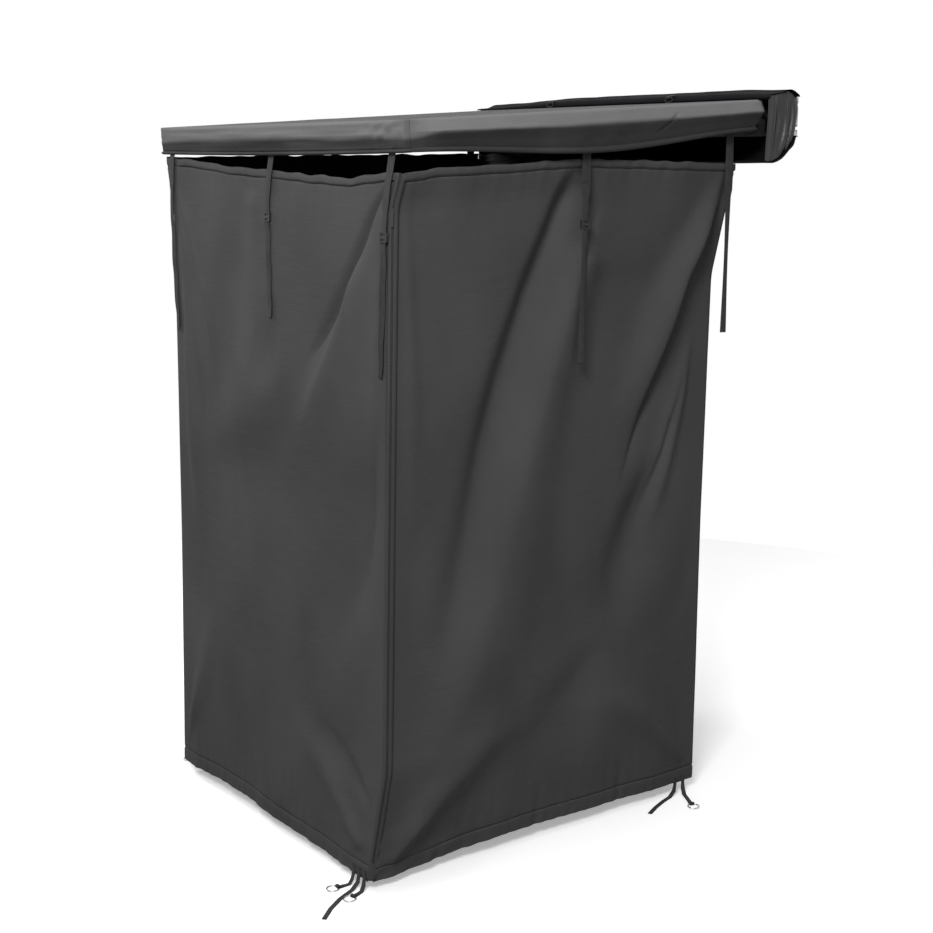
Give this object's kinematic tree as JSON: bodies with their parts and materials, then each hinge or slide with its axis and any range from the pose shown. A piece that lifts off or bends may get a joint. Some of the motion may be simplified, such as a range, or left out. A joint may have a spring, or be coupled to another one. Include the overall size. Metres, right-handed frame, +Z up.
{
  "type": "shower awning",
  "caption": "Square privacy room hung from a fold-out tube frame that bolts to a vehicle rack: soft roof and skirts, hanging walls on webbing, corner zip, storage cover",
  "frame": {"origin": "centre of the back rail's rear face, on the rack side, 1.88 m above the ground", "axes": "+Y points from the awning into the vehicle, out of the rail's rear face; +X runs along the rail towards the vehicle's rear; +Z is up"},
  "size_m": [1.2258, 1.5159, 1.9518],
  "materials": {
    "anodised_tube": "satin anodised",
    "black_casting": "black powder coat",
    "plated_steel": "zinc plated",
    "black_plastic": "moulded, fine grain",
    "roof_cloth": "coated woven polyester",
    "wall_cloth": "woven polyester",
    "cover_skin": "heavy coated cloth",
    "webbing": "woven webbing",
    "zip_cloth": "coil zip tape"
  },
  "bodies": {
    "root": {"back_rail": "anodised_tube", "mounting_bracket_right": "plated_steel", "mounting_bracket_left": "plated_steel", "bracket_bolt_right": "plated_steel", "bracket_bolt_left": "plated_steel", "arm_mount_right": "black_casting", "arm_mount_left": "black_casting", "root_pin_right": "plated_steel", "root_pin_left": "plated_steel", "cover_top": "cover_skin", "cover_lower": "cover_skin", "cover_end_right": "cover_skin", "cover_end_left": "cover_skin", "wall_rear": "wall_cloth", "roof_canopy": "roof_cloth", "valance_right": "roof_cloth", "valance_left": "roof_cloth", "wall_right": "wall_cloth", "wall_left": "wall_cloth", "peg_strap_right": "webbing", "peg_strap_rear": "webbing"},
    "front_frame": {"front_bar": "anodised_tube", "front_corner_right": "black_casting", "front_corner_left": "black_casting", "front_pin_right": "plated_steel", "front_pin_left": "plated_steel", "valance_outer": "roof_cloth", "wall_outer": "wall_cloth", "zip_tape": "zip_cloth", "strap_middle_outer": "webbing", "buckle_middle_outer": "black_plastic", "strap_corner_right": "webbing", "buckle_corner_right": "black_plastic", "strap_corner_left": "webbing", "peg_strap_near": "webbing", "peg_strap_left": "webbing"},
    "zip_pull": {"zip_slider": "plated_steel"},
    "inner_right": {"inner_arm_right": "anodised_tube", "elbow_fork_right": "black_casting", "elbow_pin_right": "plated_steel", "strap_rear_right": "webbing"},
    "outer_right": {"outer_arm_right": "anodised_tube", "elbow_tongue_right": "black_casting", "strap_middle_right": "webbing", "buckle_middle_right": "black_plastic"},
    "cover_ring_right": {"cover_ring_right": "plated_steel"},
    "inner_left": {"inner_arm_left": "anodised_tube", "elbow_fork_left": "black_casting", "elbow_pin_left": "plated_steel", "strap_rear_left": "webbing"},
    "outer_left": {"outer_arm_left": "anodised_tube", "elbow_tongue_left": "black_casting", "strap_middle_left": "webbing", "buckle_middle_left": "black_plastic"},
    "cover_ring_left": {"cover_ring_left": "plated_steel"},
    "peg_ring_near": {"peg_ring_near": "plated_steel"},
    "peg_ring_near_second": {"peg_ring_near_second": "plated_steel"},
    "peg_ring_left": {"peg_ring_left": "plated_steel"},
    "peg_ring_right": {"peg_ring_right": "plated_steel"},
    "peg_ring_rear": {"peg_ring_rear": "plated_steel"}
  },
  "joints": [
    {"name": "root_hinge_right", "type": "hinge", "parent": "root", "child": "inner_right", "pos_m": [0.545, -0.135, 0.0225], "axis": [0, -0.0593, 0.9982], "range_deg": [-90, 0], "deforming": ["roof_canopy", "valance_right", "valance_left", "wall_right", "wall_left", "strap_rear_right"]},
    {"name": "elbow_hinge_right", "type": "hinge", "parent": "inner_right", "child": "outer_right", "pos_m": [0.557, -0.66407, -0.00893], "axis": [0, -0.0593, 0.9982], "range_deg": [0, 180], "deforming": ["strap_middle_right", "buckle_middle_right"]},
    {"name": "front_hinge_right", "type": "hinge", "parent": "outer_right", "child": "front_frame", "pos_m": [0.545, -1.19313, -0.04036], "axis": [0, -0.0593, 0.9982], "range_deg": [-90, 0]},
    {"name": "root_hinge_left", "type": "hinge", "parent": "root", "child": "inner_left", "pos_m": [-0.545, -0.135, 0.0225], "axis": [0, -0.0593, 0.9982], "range_deg": [0, 90], "deforming": ["strap_rear_left"]},
    {"name": "elbow_hinge_left", "type": "hinge", "parent": "inner_left", "child": "outer_left", "pos_m": [-0.557, -0.66407, -0.00893], "axis": [0, -0.0593, 0.9982], "range_deg": [-180, 0], "deforming": ["strap_middle_left", "buckle_middle_left"]},
    {"name": "zip_slide", "type": "slide", "parent": "front_frame", "child": "zip_pull", "axis": [-0.009, -0.0181, -0.9998], "range_m": [0, 1.28]},
    {"name": "cover_ring_swing_right", "type": "hinge", "parent": "root", "child": "cover_ring_right", "pos_m": [0.25, -0.1306, 0.05728], "axis": [-1, 0, 0], "range_deg": [0, 100]},
    {"name": "cover_ring_swing_left", "type": "hinge", "parent": "root", "child": "cover_ring_left", "pos_m": [-0.25, -0.1306, 0.05728], "axis": [-1, 0, 0], "range_deg": [0, 100]},
    {"name": "peg_ring_near_swing", "type": "hinge", "parent": "front_frame", "child": "peg_ring_near", "pos_m": [0.37578, -1.34216, -1.8764], "axis": [-0.9988, 0.0499, 0], "range_deg": [0, 80]},
    {"name": "peg_ring_near_second_swing", "type": "hinge", "parent": "front_frame", "child": "peg_ring_near_second", "pos_m": [0.43933, -1.33934, -1.8764], "axis": [-0.9468, -0.3219, 0], "range_deg": [0, 80]},
    {"name": "peg_ring_left_swing", "type": "hinge", "parent": "front_frame", "child": "peg_ring_left", "pos_m": [-0.5718, -1.24778, -1.8764], "axis": [0.0499, 0.9988, 0], "range_deg": [0, 80]},
    {"name": "peg_ring_right_swing", "type": "hinge", "parent": "root", "child": "peg_ring_right", "pos_m": [0.57078, -0.29265, -1.8764], "axis": [-0.4819, -0.8762, 0], "range_deg": [0, 80]},
    {"name": "peg_ring_rear_swing", "type": "hinge", "parent": "root", "child": "peg_ring_rear", "pos_m": [-0.54128, -0.28943, -1.8764], "axis": [-0.0995, 0.995, 0], "range_deg": [0, 80]}
  ],
  "couplings": [
    {"joint": "elbow_hinge_right", "follows": "root_hinge_right", "ratio": -2},
    {"joint": "front_hinge_right", "follows": "root_hinge_right", "ratio": 1},
    {"joint": "root_hinge_left", "follows": "root_hinge_right", "ratio": -1},
    {"joint": "elbow_hinge_left", "follows": "root_hinge_right", "ratio": 2}
  ]
}
